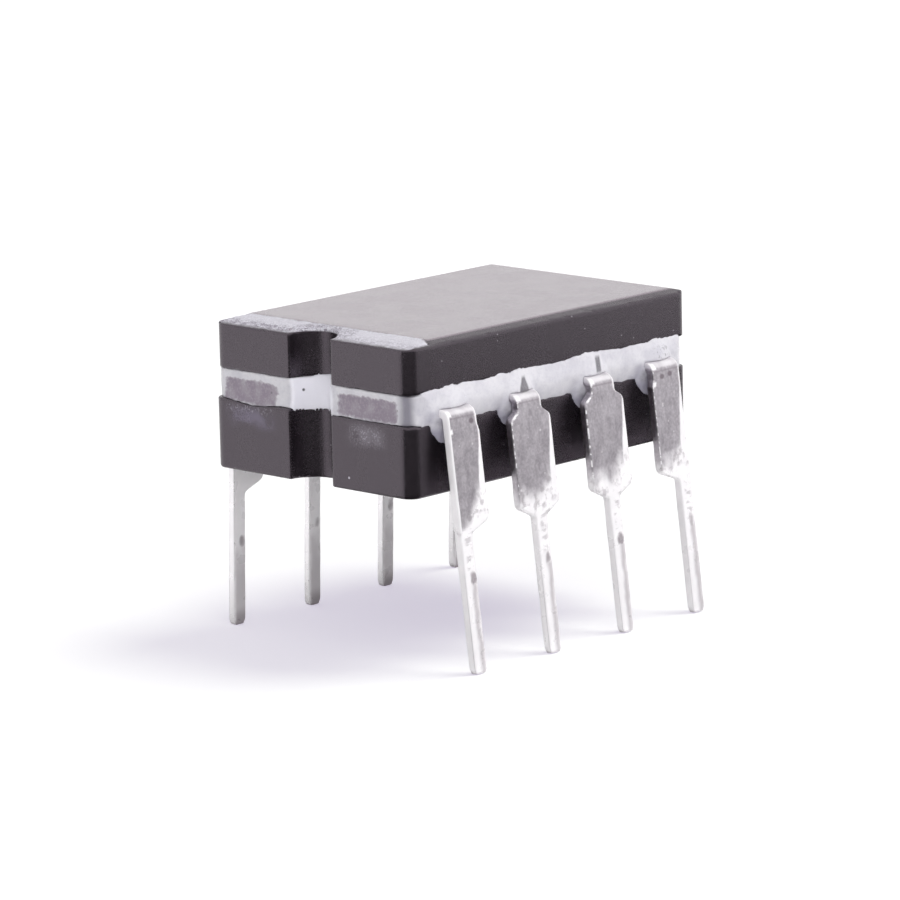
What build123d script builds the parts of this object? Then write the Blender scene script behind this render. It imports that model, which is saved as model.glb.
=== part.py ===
from build123d import *
from math import cos, radians, sin, tan
import os

# Eight-lead dual-in-line amplifier chip in a ceramic case sealed with glass.
# Millimetres, +Z up. The origin is under the middle of the ceramic base, at
# the height of the lead tips. The end notch and lead 1 are at -X, leads 1 to 4
# run along the front (-Y) towards +X, and leads 5 to 8 come back along the rear.

# Ceramic case
body_length = 9.62
base_width = 6.40
base_thickness = 1.68
cap_width = 6.31
cap_thickness = 1.17
cap_shift = 0.045  # the cap was sealed on this far towards the front
body_standoff = 4.07  # underside of the base above the lead tips
corner_radius = 0.32
notch_radius = 0.67

# Bevels round the top of the cap
bevel_height = 0.10
side_bevel = 0.27
notch_end_bevel = 0.93
plain_end_bevel = 0.36

# Hollow for the die and its wires
cavity_length = 3.20
cavity_width = 2.40
cavity_depth = 0.50
cavity_corner = 0.25
recess_margin = 0.55  # the hollow in the cap is this much wider all round
recess_depth = 0.25

# Glass seal
seal_thickness = 0.71
glass_under_leads = 0.12
side_bulge = 0.10  # how far the glass stands out between the leads
side_film = 0.05  # how far it creeps over the ceramic above and below
end_hollow = 0.09  # how far it draws back at the ends
end_lip = 0.01
notch_bulge = 0.08
notch_film = 0.12
bead_corner = 0.70
collar_radius = 0.70  # round collar that wets each lead where it comes out
collar_reach = 0.26
collar_drop = 0.09
collar_root = 0.15

# Leads, stamped from sheet and bent down
lead_pitch = 2.54
leads_per_row = 4
lead_thickness = 0.20
pin_width = 0.36
tip_width = 0.26
tip_length = 0.12
neck_width = 0.80
wide_width = 1.33
end_neck_width = 0.93
end_wide_width = 0.98
neck_end = 5.68  # heights above the tips, down the lead
wide_start = 5.50
wide_end = 3.46
pin_start = 3.22
neck_round = 0.10
shoulder_round = 0.18
bend_inner_radius = 0.06
front_reach = 0.40  # outer face of the bend, out from the side of the base
rear_reach = 0.32
front_splay = 6.8  # degrees
rear_splay = 2.3

# Inner fingers of the leads
finger_width = 0.40
finger_round = 0.25
finger_setback = 0.08  # from the edge of the hollow to the finger's end
neck_depth = 0.55  # how far the full neck runs into the glass
turn_depth = 0.95  # where a middle finger starts to jog, in from the side
finger_run = 0.37  # straight end of a middle finger, beside the hollow
jog_ratio = 0.62
end_turn_depth = 1.45
end_run_length = 1.00
end_finger_offset = 0.70

# Die, its bond and its wires
die_length = 1.50
die_width = 1.40
die_thickness = 0.36
bond_thickness = 0.03
bond_margin = 0.08
wire_diameter = 0.035
wire_sides = 8
foot_length = 0.12
foot_width = 0.07
foot_thickness = 0.024
pad_inset = 0.12
middle_pad_ratio = 0.38
end_pad_ratio = 0.45
wire_landing = 0.16  # from the finger's end to the middle of the wire's foot
loop_height = 0.30  # peak of the loop above the finger, before it is rounded
loop_peak = 0.32  # share of the span from the die to the peak
loop_round = 0.25

# Levels and half widths worked out from the sizes above
base_top = body_standoff + base_thickness
cap_bottom = base_top + seal_thickness
lead_bottom = base_top + glass_under_leads
lead_middle = lead_bottom + lead_thickness / 2
lead_top = lead_bottom + lead_thickness
cavity_floor = base_top - cavity_depth
die_bottom = cavity_floor + bond_thickness
die_top = die_bottom + die_thickness
base_side = base_width / 2
cap_half = cap_width / 2
body_half = body_length / 2
recess_length = cavity_length + 2 * recess_margin
recess_width = cavity_width + 2 * recess_margin
first_lead_x = -lead_pitch * (leads_per_row - 1) / 2

os.makedirs("parts", exist_ok=True)


def case_outline(width):
    """Plan of the ceramic: rounded corners and the half-round end notch."""
    RectangleRounded(body_length, width, corner_radius)
    with Locations((-body_half, 0)):
        Circle(notch_radius, mode=Mode.SUBTRACT)


# Ceramic base with the hollow that holds the die
with BuildPart() as ceramic_base:
    with BuildSketch(Plane.XY.offset(body_standoff)):
        case_outline(base_width)
    extrude(amount=base_thickness)
    with BuildSketch(Plane.XY.offset(base_top)):
        RectangleRounded(cavity_length, cavity_width, cavity_corner)
    extrude(amount=-cavity_depth, mode=Mode.SUBTRACT)

ceramic_base.part.label = "ceramic_base"
export_step(ceramic_base.part, "parts/ceramic_base.step")

# Ceramic cap, bevelled all round and hollowed under the middle
bevel_top_length = body_length - notch_end_bevel - plain_end_bevel
bevel_top_centre = (notch_end_bevel - plain_end_bevel) / 2
cap_plane = Plane.XY.offset(cap_bottom).move(Location((0, -cap_shift, 0)))

with BuildPart() as ceramic_cap:
    with BuildSketch(cap_plane):
        Rectangle(body_length, cap_width)
    extrude(amount=cap_thickness - bevel_height)
    with BuildSketch(cap_plane.offset(cap_thickness - bevel_height)):
        Rectangle(body_length, cap_width)
    with BuildSketch(cap_plane.offset(cap_thickness)):
        with Locations((bevel_top_centre, 0)):
            Rectangle(bevel_top_length, cap_width - 2 * side_bevel)
    loft(ruled=True)
    with BuildSketch(cap_plane):
        case_outline(cap_width)
    extrude(amount=cap_thickness, mode=Mode.INTERSECT)
    with BuildSketch(Plane.XY.offset(cap_bottom)):
        RectangleRounded(recess_length, recess_width, cavity_corner)
    extrude(amount=recess_depth, mode=Mode.SUBTRACT)

ceramic_cap.part.label = "ceramic_cap"
export_step(ceramic_cap.part, "parts/ceramic_cap.step")


def lead_side(x, inward, is_end, towards_centre):
    """Corners down one edge of a lead, each with its height and its radius."""
    pin_half = pin_width / 2
    if not is_end:
        neck, wide = neck_width / 2, wide_width / 2
    elif towards_centre:
        neck, wide = end_neck_width - pin_half, end_wide_width - pin_half
    else:
        neck, wide = pin_half, pin_half
    corners = [(neck, lead_top + lead_thickness, 0)]
    if wide > neck:
        corners += [(neck, neck_end, neck_round), (wide, wide_start, shoulder_round)]
    if wide > pin_half:
        corners += [(wide, wide_end, shoulder_round), (pin_half, pin_start, neck_round)]
    corners += [(pin_half, tip_length, 0), (tip_width / 2, 0, 0)]
    way = inward if towards_centre else -inward
    return [(x + way * offset, height, radius) for offset, height, radius in corners]


def formed_profile(side):
    """Middle line of a bent lead seen from its end: bend and splayed leg."""
    splay = radians(front_splay if side < 0 else rear_splay)
    reach = front_reach if side < 0 else rear_reach
    knee_y = base_side + reach - lead_thickness / 2 / cos(splay)
    tip_z = lead_thickness / 2 * sin(splay)
    tip_y = knee_y + (lead_middle - tip_z) * tan(splay)
    return [
        (side * base_side, lead_middle),
        (side * knee_y, lead_middle),
        (side * tip_y, tip_z),
    ]


def finger_path(x, inward, is_end, side):
    """Middle line of the finger, from the side of the base to the hollow."""
    if is_end:
        row_y = end_finger_offset * side
        end_x = cavity_length / 2 + finger_setback
        return [
            (x, side * base_side),
            (x, side * (base_side - end_turn_depth)),
            (-inward * (end_x + end_run_length), row_y),
            (-inward * end_x, row_y),
        ]
    end_y = cavity_width / 2 + finger_setback
    return [
        (x, side * base_side),
        (x, side * (base_side - turn_depth)),
        (x * jog_ratio, side * (end_y + finger_run)),
        (x * jog_ratio, side * end_y),
    ]


# Leads, each one piece from its pin to the finger that the wire lands on
leads = {}
fingers = {}
necks = []
for number in range(1, 2 * leads_per_row + 1):
    side = -1 if number <= leads_per_row else 1
    place = number - 1 if side < 0 else 2 * leads_per_row - number
    lead_x = first_lead_x + lead_pitch * place
    inward = 1 if lead_x < 0 else -1
    is_end = place in (0, leads_per_row - 1)
    inner_edge = lead_side(lead_x, inward, is_end, True)
    outer_edge = lead_side(lead_x, inward, is_end, False)
    outline = inner_edge + outer_edge[::-1]
    finger = finger_path(lead_x, inward, is_end, side)
    full_neck = abs(inner_edge[0][0] - outer_edge[0][0])
    neck_x = (inner_edge[0][0] + outer_edge[0][0]) / 2
    with BuildPart() as lead:
        with BuildSketch(Plane.YZ.offset(lead_x)):
            with BuildLine():
                FilletPolyline(formed_profile(side), radius=bend_inner_radius + lead_thickness / 2)
            trace(line_width=lead_thickness)
        extrude(amount=wide_width, both=True)
        with BuildSketch(Plane.XZ):
            with BuildLine():
                FilletPolyline(
                    [(x, z) for x, z, radius in outline],
                    radius=[radius for x, z, radius in outline],
                    close=True,
                )
            make_face()
        extrude(amount=base_width, both=True, mode=Mode.INTERSECT)
        with BuildSketch(Plane.XY.offset(lead_bottom)):
            with BuildLine():
                FilletPolyline(finger, radius=finger_round)
            trace(line_width=finger_width)
            with Locations((neck_x, side * (base_side - neck_depth / 2))):
                Rectangle(full_neck, neck_depth)
        extrude(amount=lead_thickness)
    lead.part.label = f"lead_{number}"
    export_step(lead.part, f"parts/lead_{number}.step")
    leads[number] = lead.part
    fingers[number] = (Vector(*finger[-2]), Vector(*finger[-1]), is_end)
    necks.append((neck_x, side))

# Ring of glass that climbs a little up and down the wall of the notch
middle = (base_top + cap_bottom) / 2
with BuildPart() as notch_meniscus:
    with BuildSketch(Plane.XZ.move(Location((-body_half, 0, 0)))):
        with BuildLine():
            low = base_top - notch_film
            high = cap_bottom + notch_film
            wall = Polyline(
                (notch_radius, low),
                (notch_radius + collar_root, low),
                (notch_radius + collar_root, high),
                (notch_radius, high),
            )
            ThreePointArc(wall @ 1, (notch_radius - notch_bulge, middle), wall @ 0)
        make_face()
    revolve(axis=Axis((-body_half, 0, 0), (0, 0, 1)))
    split(bisect_by=Plane.YZ.offset(-body_half + end_hollow), keep=Keep.TOP)

# Round collar of glass that wets a lead, lying along Y from the base's side
with BuildPart() as collar:
    with BuildSketch(Plane.XY):
        with BuildLine():
            face_edge = Line((0, -collar_root), (collar_radius, -collar_root))
            rim = Line(face_edge @ 1, (collar_radius, 0))
            sphere_radius = (collar_radius**2 + collar_reach**2) / (2 * collar_reach)
            RadiusArc(rim @ 1, (0, collar_reach), -sphere_radius)
            Line((0, collar_reach), face_edge @ 0)
        make_face()
    revolve(axis=Axis.Y)

# Glass seal: it bulges at the sides, draws back at the ends, wets the leads
# and leaves room for the die and its wires in the middle
with BuildPart() as glass_seal:
    with BuildSketch(Plane.XY.offset(base_top - notch_film)):
        RectangleRounded(body_length, base_width + 2 * side_bulge, bead_corner)
        with Locations((-body_half, 0)):
            Circle(notch_radius, mode=Mode.SUBTRACT)
    extrude(amount=seal_thickness + 2 * notch_film)
    low = base_top - side_film
    high = cap_bottom + side_film
    with BuildSketch(Plane.YZ):
        with BuildLine():
            bottom = Line((base_side, low), (-base_side, low))
            front = ThreePointArc(bottom @ 1, (-base_side - side_bulge, middle), (-cap_half - cap_shift, high))
            top = Line(front @ 1, (cap_half - cap_shift, high))
            ThreePointArc(top @ 1, (base_side + side_bulge, middle), bottom @ 0)
        make_face()
    extrude(amount=body_length, both=True, mode=Mode.INTERSECT)
    with BuildSketch(Plane.XZ):
        with BuildLine():
            edge = body_half - end_lip
            left = ThreePointArc((-edge, low), (end_hollow - body_half, middle), (-edge, high))
            right = ThreePointArc((edge, low), (body_half - end_hollow, middle), (edge, high))
            Line(left @ 1, right @ 1)
            Line(left @ 0, right @ 0)
        make_face()
    extrude(amount=base_width, both=True, mode=Mode.INTERSECT)
    add(notch_meniscus.part)
    for neck_x, side in necks:
        turn = 0 if side > 0 else 180
        with Locations(Location((neck_x, side * base_side, lead_middle - collar_drop), (0, 0, turn))):
            add(collar.part)
    with BuildSketch(Plane.XY.offset(low)):
        RectangleRounded(cavity_length, cavity_width, cavity_corner)
    extrude(amount=lead_bottom - low, mode=Mode.SUBTRACT)
    with BuildSketch(Plane.XY.offset(lead_bottom)):
        RectangleRounded(recess_length, recess_width, cavity_corner)
    extrude(amount=high - lead_bottom, mode=Mode.SUBTRACT)
    add(ceramic_base.part, mode=Mode.SUBTRACT)
    add(ceramic_cap.part, mode=Mode.SUBTRACT)
    for piece in leads.values():
        add(piece, mode=Mode.SUBTRACT)

glass_seal.part.label = "glass_seal"
export_step(glass_seal.part, "parts/glass_seal.step")

# Silicon die on its bond in the middle of the hollow
with BuildPart() as die_attach:
    with BuildSketch(Plane.XY.offset(cavity_floor)):
        RectangleRounded(die_length + 2 * bond_margin, die_width + 2 * bond_margin, bond_margin)
    extrude(amount=bond_thickness)

die_attach.part.label = "die_attach"
export_step(die_attach.part, "parts/die_attach.step")

with BuildPart() as die:
    with BuildSketch(Plane.XY.offset(die_bottom)):
        Rectangle(die_length, die_width)
    extrude(amount=die_thickness)

die.part.label = "die"
export_step(die.part, "parts/die.step")

# Bond wires, each with a flattened foot on the die and one on its finger. The
# last lead has none, as on a single amplifier
edge_x = die_length / 2 - pad_inset
edge_y = die_width / 2 - pad_inset
rise = lead_top - die_top
for number, (turn_point, end_point, is_end) in fingers.items():
    if number == 2 * leads_per_row:
        continue
    landing = end_point + (turn_point - end_point).normalized() * wire_landing
    pad_x = edge_x if is_end else edge_x * middle_pad_ratio
    pad_y = edge_y * end_pad_ratio if is_end else edge_y
    pad = Vector(pad_x if landing.X > 0 else -pad_x, pad_y if landing.Y > 0 else -pad_y)
    span = (landing - pad).length
    heading = (landing - pad).normalized()
    pad_plane = Plane(origin=(pad.X, pad.Y, die_top), x_dir=heading)
    landing_plane = Plane(origin=(landing.X, landing.Y, lead_top), x_dir=heading)
    loop_plane = Plane(origin=pad_plane.origin, x_dir=heading, z_dir=heading.cross(Vector(0, 0, 1)))
    with BuildPart() as wire:
        with BuildLine(loop_plane) as loop:
            FilletPolyline(
                (0, foot_thickness),
                (span * loop_peak, rise + loop_height),
                (span, rise + foot_thickness),
                radius=loop_round,
            )
        with BuildSketch(Plane(origin=loop.line @ 0, z_dir=loop.line % 0)):
            RegularPolygon(wire_diameter / 2, wire_sides)
        sweep(path=loop.line)
        with BuildSketch(pad_plane, landing_plane):
            SlotOverall(foot_length, foot_width)
        extrude(amount=foot_thickness)
    wire.part.label = f"bond_wire_{number}"
    export_step(wire.part, f"parts/bond_wire_{number}.step")
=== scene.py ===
# %% [markdown]
# # An eight-lead amplifier chip in a ceramic case
#
# The real chip is a sandwich that was fired in an oven: a dark ceramic base, a ring of glass paste,
# eight metal leads and a ceramic cap. The glass melted, crept a little over the ceramic and up the
# leads, and set. The exact shapes come from the imported model. Here each piece gets the look of the real
# one.
#
# The first cell loads the model and keeps its box, so that the dressed pieces can be kept inside it.

# %% Load the frame
from math import atan2, degrees, floor, pi, radians, sin, tan

import bpy
from mathutils import Matrix, Vector, noise


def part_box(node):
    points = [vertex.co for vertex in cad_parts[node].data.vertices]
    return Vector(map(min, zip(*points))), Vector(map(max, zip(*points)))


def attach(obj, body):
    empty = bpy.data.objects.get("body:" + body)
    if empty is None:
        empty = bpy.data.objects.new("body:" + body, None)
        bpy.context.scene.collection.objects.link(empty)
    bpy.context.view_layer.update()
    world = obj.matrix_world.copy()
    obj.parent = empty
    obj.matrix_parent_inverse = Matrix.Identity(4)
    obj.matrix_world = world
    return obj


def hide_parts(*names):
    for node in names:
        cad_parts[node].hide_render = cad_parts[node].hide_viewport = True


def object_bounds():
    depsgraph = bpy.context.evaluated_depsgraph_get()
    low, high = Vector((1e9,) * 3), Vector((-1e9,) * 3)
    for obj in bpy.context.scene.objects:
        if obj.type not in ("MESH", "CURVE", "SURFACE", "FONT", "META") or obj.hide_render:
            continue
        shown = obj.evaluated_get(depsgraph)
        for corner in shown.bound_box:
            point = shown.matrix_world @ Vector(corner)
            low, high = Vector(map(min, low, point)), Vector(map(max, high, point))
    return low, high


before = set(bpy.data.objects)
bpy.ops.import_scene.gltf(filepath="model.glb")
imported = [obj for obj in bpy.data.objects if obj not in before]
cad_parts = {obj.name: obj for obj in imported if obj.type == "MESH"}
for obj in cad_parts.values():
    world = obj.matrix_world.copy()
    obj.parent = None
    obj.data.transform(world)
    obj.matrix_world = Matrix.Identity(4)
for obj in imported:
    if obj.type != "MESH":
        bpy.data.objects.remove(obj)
cad_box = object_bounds()
MM = 0.001
print("pieces in the frame:", len(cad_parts))

# %% [markdown]
# ## Sizes that the finish needs
#
# A finish has to know where things are: the seam between glass and ceramic, the row of leads, the top
# of the bend. They are measured from the frame in millimetres, so nothing has to be fitted by eye. Only
# what a piece's box can't say, such as the notch's radius and the width of the cap's bevels, is a
# number of its own.

# %% Measure the frame
def measured(name):
    """Lowest and highest corner of one piece of the frame, in millimetres."""
    low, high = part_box(name)
    return low / MM, high / MM


base_low, base_high = measured("ceramic_base")
cap_low, cap_high = measured("ceramic_cap")
lead_low, lead_high = measured("lead_2")
BEND_TOP = lead_high.z
LEADS_PER_ROW = 4
NOTCH_RADIUS = 0.67
CAP_BEVEL = 0.10
END_BEVEL = 0.93
print("seam of glass from", round(base_high.z, 2), "to", round(cap_low.z, 2), "mm above the lead tips")

# %% [markdown]
# ## The camera
#
# The picture was taken with a long lens, a little above the chip and with its near corner towards the
# lens. A camera matches it when place, turn and lens are all right. The turns are written as headings
# in degrees: first round to face the chip, then down, then a small roll.

# %% Place the camera
CAMERA_PLACE = Vector((-86.74, -82.43, 28.81))
HEADING = 46.407
TILT = -11.686
ROLL = -1.368
VIEW_ANGLE = 9.987
SENSOR = 36.0

camera_data = bpy.data.cameras.new("camera")
camera_data.sensor_width = SENSOR
camera_data.lens = SENSOR / 2 / tan(radians(VIEW_ANGLE) / 2)
camera_data.clip_start = 0.005
camera_data.clip_end = 20
camera = bpy.data.objects.new("camera", camera_data)
bpy.context.scene.collection.objects.link(camera)
bpy.context.scene.camera = camera
turned = Matrix.Rotation(radians(-HEADING), 4, "Z")
tilted = Matrix.Rotation(radians(90 + TILT), 4, "X")
rolled = Matrix.Rotation(radians(ROLL), 4, "Z")
camera.matrix_world = Matrix.Translation(CAMERA_PLACE * MM) @ turned @ tilted @ rolled
print("lens:", round(camera_data.lens), "mm")

# %% [markdown]
# ## Shader sums as plain expressions
#
# A finish is mostly arithmetic: a mask times a colour, one minus a mask, the larger of two heights.
# Writing each Math node by hand hides that. A small class wraps a socket, so that an ordinary
# expression adds the nodes.

# %% Signals
class Signal:
    """An output socket that can be used in sums."""

    def __init__(self, graph, socket):
        self.graph = graph
        self.socket = socket

    def sum(self, operation, first, second):
        return self.graph.add("ShaderNodeMath", {"operation": operation}, {0: first, 1: second})

    def __add__(self, other):
        return self.sum("ADD", self, other)

    def __radd__(self, other):
        return self.sum("ADD", other, self)

    def __sub__(self, other):
        return self.sum("SUBTRACT", self, other)

    def __rsub__(self, other):
        return self.sum("SUBTRACT", other, self)

    def __mul__(self, other):
        return self.sum("MULTIPLY", self, other)

    def __rmul__(self, other):
        return self.sum("MULTIPLY", other, self)

    def __truediv__(self, other):
        return self.sum("DIVIDE", self, other)

    def least(self, other):
        return self.sum("MINIMUM", self, other)

    def most(self, other):
        return self.sum("MAXIMUM", self, other)


print("signals ready")

# %% [markdown]
# ## Any other node
#
# One method adds every other node: its kind, its settings, and what goes into its sockets. On top of it
# stand the few steps that come up again and again: a soft step, a soft window, a mix of numbers or
# colours.

# %% Node graphs
class Graph:
    """A tree of nodes, which belongs to a material or to the world."""

    def __init__(self, tree):
        self.tree = tree

    def add(self, kind, settings=None, sockets=None, output=0):
        """Adds one node and gives back one of its outputs."""
        made = self.tree.nodes.new(kind)
        for name, value in (settings or {}).items():
            setattr(made, name, value)
        for name, value in (sockets or {}).items():
            if isinstance(value, Signal):
                self.tree.links.new(value.socket, made.inputs[name])
            else:
                made.inputs[name].default_value = value
        return Signal(self, made.outputs[output])

    def fade(self, value, start, end):
        """A soft step: 0 before the start and 1 past the end."""
        sockets = {"Value": value, "From Min": start, "From Max": end}
        return self.add("ShaderNodeMapRange", {"interpolation_type": "SMOOTHSTEP"}, sockets)

    def between(self, value, low, high, soft):
        """A soft window: 1 from low to high, and 0 outside."""
        return self.fade(value, low - soft, low + soft) * self.fade(value, high + soft, high - soft)

    def mix(self, mask, first, second):
        """The first number where the mask is 0, the second where it is 1."""
        return first + mask * (second - first)

    def blend(self, mask, first, second):
        """The same for colours."""
        sockets = {0: mask}
        for socket, colour in ((6, first), (7, second)):
            sockets[socket] = colour if isinstance(colour, Signal) else (*colour, 1)
        return self.add("ShaderNodeMix", {"data_type": "RGBA"}, sockets, 2)


print("node graphs ready")

# %% [markdown]
# ## A finish
#
# A finish is a graph that ends in one surface shader. It knows where each point of the piece is, in
# millimetres, and makes noise, specks and spots from that place. So a pattern stays on its piece
# however the piece is turned or seen. A number that is the same all over is set on the shader's socket
# itself.

# %% Finishes
class Finish(Graph):
    """A material that is being made."""

    def __init__(self, name, **sockets):
        self.material = bpy.data.materials.new(name)
        self.material.use_nodes = True
        super().__init__(self.material.node_tree)
        self.shader = self.tree.nodes["Principled BSDF"]
        for socket, value in sockets.items():
            self.shader.inputs[socket.replace("_", " ")].default_value = value
        place = self.add("ShaderNodeTexCoord", output="Object")
        self.place = self.add("ShaderNodeVectorMath", {"operation": "SCALE"}, {0: place, "Scale": 1 / MM})
        self.x, self.y, self.z = (
            self.add("ShaderNodeSeparateXYZ", {}, {0: self.place}, output) for output in range(3)
        )

    def noise(self, scale, detail=3.0, stretch=(1, 1, 1)):
        """Smooth noise around a half. The scale counts lumps for each millimetre."""
        place = self.add("ShaderNodeMapping", {}, {0: self.place, "Scale": stretch})
        return self.add("ShaderNodeTexNoise", {}, {"Vector": place, "Scale": scale, "Detail": detail})

    def specks(self, scale, size, share):
        """Small round specks: size is their reach in cells, share is how many cells have one."""
        cells = {"Vector": self.place, "Scale": scale}
        near = self.fade(self.add("ShaderNodeTexVoronoi", {}, cells, "Distance"), size, size * 0.6)
        tint = self.add("ShaderNodeTexVoronoi", {}, cells, "Color")
        draw = self.add("ShaderNodeSeparateColor", {}, {0: tint})
        return near * self.fade(draw, 1 - share, 1 - share * 0.7)

    def near(self, point, reach, tall=1.0, deep=1.0):
        """A soft spot round a point, so many times as tall and as deep as it is wide."""
        squeeze = (1, 1 / deep, 1 / tall)
        squeezed = self.add("ShaderNodeMapping", {}, {0: self.place, "Scale": squeeze})
        ends = {0: squeezed, 1: [length * share for length, share in zip(point, squeeze)]}
        distance = self.add("ShaderNodeVectorMath", {"operation": "DISTANCE"}, ends, "Value")
        return self.fade(distance, reach, reach * 0.4)

    def noted(self, name):
        """A number that was noted on the points of the piece."""
        return self.add("ShaderNodeAttribute", {"attribute_name": name}, output="Fac")

    def wear(self, height, depth):
        """Turns a height into relief that is so many millimetres deep."""
        sockets = {"Height": height, "Distance": depth * MM, "Strength": 1.0}
        return self.add("ShaderNodeBump", {}, sockets)

    def feed(self, **sockets):
        """Leads signals to the surface shader and gives back the material."""
        for name, signal in sockets.items():
            self.tree.links.new(signal.socket, self.shader.inputs[name.replace("_", " ")])
        return self.material


print("finishes ready")

# %% [markdown]
# ## The room
#
# The chip stands on a white sheet in soft light, which the world gives evenly from all round. What the
# lens and the polished leads see of the world is pure white, while the light that falls on the chip
# stays at a plain level. A Light Path node tells the two kinds of ray apart.

# %% Light the room
WORLD_LIGHT = 0.40
WHITE_SEEN = 1.0


def ray_is(graph, kind):
    """1 on one kind of ray, such as the ones that leave the lens."""
    return graph.add("ShaderNodeLightPath", output=f"Is {kind} Ray")


def seen_directly(graph):
    """1 for what the lens sees, straight, in a mirror or through glass."""
    return ray_is(graph, "Camera").most(ray_is(graph, "Glossy")).most(ray_is(graph, "Transmission"))


world = bpy.data.worlds.new("white room")
bpy.context.scene.world = world
world.use_nodes = True
room = Graph(world.node_tree)
strength = room.mix(seen_directly(room), WORLD_LIGHT, WHITE_SEEN)
background = world.node_tree.nodes["Background"]
background.inputs["Color"].default_value = (1, 1, 1, 1)
world.node_tree.links.new(strength.socket, background.inputs["Strength"])
print("light of the world:", WORLD_LIGHT)

# %% [markdown]
# ## The lamps
#
# The shadow is soft and falls to the left. A wide lamp high on the right gives it its direction, and a
# weak low lamp by the lens reaches under the body, to the pins behind. A sun's strength is meant for a
# surface that faces it. Here each lamp is given by the light that it lays on level ground, and its
# strength follows from that and its height. Headings count from the right of the picture, away from the
# lens.

# %% Hang the lamps
LAMPS = {
    "high lamp at the right": {"share": 0.50, "height": 58, "heading": 13, "width": 32},
    "low lamp by the lens": {"share": 0.15, "height": 30, "heading": -78, "width": 60},
}

for name, lamp in LAMPS.items():
    lamp_data = bpy.data.lights.new(name, "SUN")
    lamp_data.energy = pi * lamp["share"] / sin(radians(lamp["height"]))
    lamp_data.angle = radians(lamp["width"])
    hung = bpy.data.objects.new(name, lamp_data)
    bpy.context.scene.collection.objects.link(hung)
    hung.rotation_euler = (0, radians(90 - lamp["height"]), radians(lamp["heading"] - HEADING))
    hung.visible_glossy = False

print("light on the floor:", WORLD_LIGHT + sum(lamp["share"] for lamp in LAMPS.values()))

# %% [markdown]
# ## The white sheet
#
# The sheet is pale and matt, and throws light up at the chip as any white table does. For the lens its
# tones are lifted, channel by channel, until the lit sheet is white and the shadow stays, in pale
# lavender. In a mirror it gets just what its colour lacks to white.

# %% Lay the sheet
FLOOR_COLOUR = (0.93, 0.93, 0.93)
FLOOR_SEEN = (0.63, 0.67, 0.55)
FLOOR_LIFT = (0.462, 0.420, 0.545)
FLOOR_REACH = 1.5

bpy.ops.object.select_all(action="DESELECT")
bpy.ops.mesh.primitive_plane_add(size=2 * FLOOR_REACH)
ground = bpy.context.object
ground.name = "floor"
sheet = Finish("white sheet", Roughness=0.9, Specular_IOR_Level=0.0, Emission_Strength=1.0)
mirrored = [1 - channel for channel in FLOOR_COLOUR]
lift = sheet.blend(seen_directly(sheet), (0, 0, 0), mirrored)
from_lens = ray_is(sheet, "Camera")
seen = sheet.blend(from_lens, FLOOR_COLOUR, FLOOR_SEEN)
sheet.feed(Base_Color=seen, Emission_Color=sheet.blend(from_lens, lift, FLOOR_LIFT))
ground.data.materials.append(sheet.material)
print("sheet is", 2 * FLOOR_REACH, "m wide")

# %% [markdown]
# ## Dark cards for the reflections
#
# Satin ceramic and metal show the room. In a room that is white all round they look flat and chalky, so
# a photographer lays dark card on the table outside the picture: black in front of the lens, grey at
# the right. Each card is a line that is spun round the chip from one heading to another. The
# cards are seen by reflections alone: they cast no shadow and the lens doesn't see them.

# %% Lay the cards
CARD_HEIGHT = 0.05
SPIN_STEPS = 16


def card(name, ring, azimuths, tone):
    """A card between two distances and two headings from the chip, seen by reflections only."""
    mesh = bpy.data.meshes.new(name)
    made = bpy.data.objects.new(name, mesh)
    bpy.context.scene.collection.objects.link(made)
    first, last = (radians(azimuth) for azimuth in azimuths)
    place = Matrix.Rotation(-first, 4, "Z")
    mesh.from_pydata([place @ Vector((0, reach, CARD_HEIGHT)) * MM for reach in ring], [(0, 1)], [])
    bpy.ops.object.select_all(action="DESELECT")
    made.select_set(True)
    bpy.context.view_layer.objects.active = made
    bpy.ops.object.mode_set(mode="EDIT")
    bpy.ops.mesh.select_all(action="SELECT")
    bpy.ops.mesh.spin(steps=SPIN_STEPS, angle=last - first, center=(0, 0, 0), axis=(0, 0, 1))
    bpy.ops.object.mode_set(mode="OBJECT")
    colours = {"Base_Color": (0, 0, 0, 1), "Emission_Color": (tone, tone, tone, 1)}
    paint = Finish(name, Roughness=1.0, Specular_IOR_Level=0.0, Emission_Strength=1.0, **colours)
    mesh.materials.append(paint.material)
    for ray in ("camera", "diffuse", "shadow", "transmission"):
        setattr(made, f"visible_{ray}", False)
    headings = [degrees(atan2(vertex.co.x, vertex.co.y)) % 360 for vertex in mesh.vertices]
    print(name, "spans headings", round(min(headings)), "to", round(max(headings)))


LENS_SIDE = 180 + HEADING
DARK_TONE = 0.018
GREY_TONE = 0.6
card("dark card near the chip", (6, 27), (LENS_SIDE - 125, LENS_SIDE + 50), DARK_TONE)
card("dark card below the lens", (27, 250), (LENS_SIDE - 62, LENS_SIDE + 50), DARK_TONE)
card("grey card at the right", (27, 45), (LENS_SIDE - 125, LENS_SIDE - 62), GREY_TONE)

# %% [markdown]
# ## Working on a copy
#
# A piece of the frame is exact but bare: some edges are razor sharp and its faces are long triangles
# that can't be dented. So each visible piece is copied and its loose triangles are joined. The work is
# done in millimetres, because the skin of such a small thing is finer than Blender's tools allow in
# metres.

# %% Copy a piece
def pick(piece):
    """Selects one piece alone and makes it active."""
    bpy.ops.object.select_all(action="DESELECT")
    piece.select_set(True)
    bpy.context.view_layer.objects.active = piece


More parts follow.
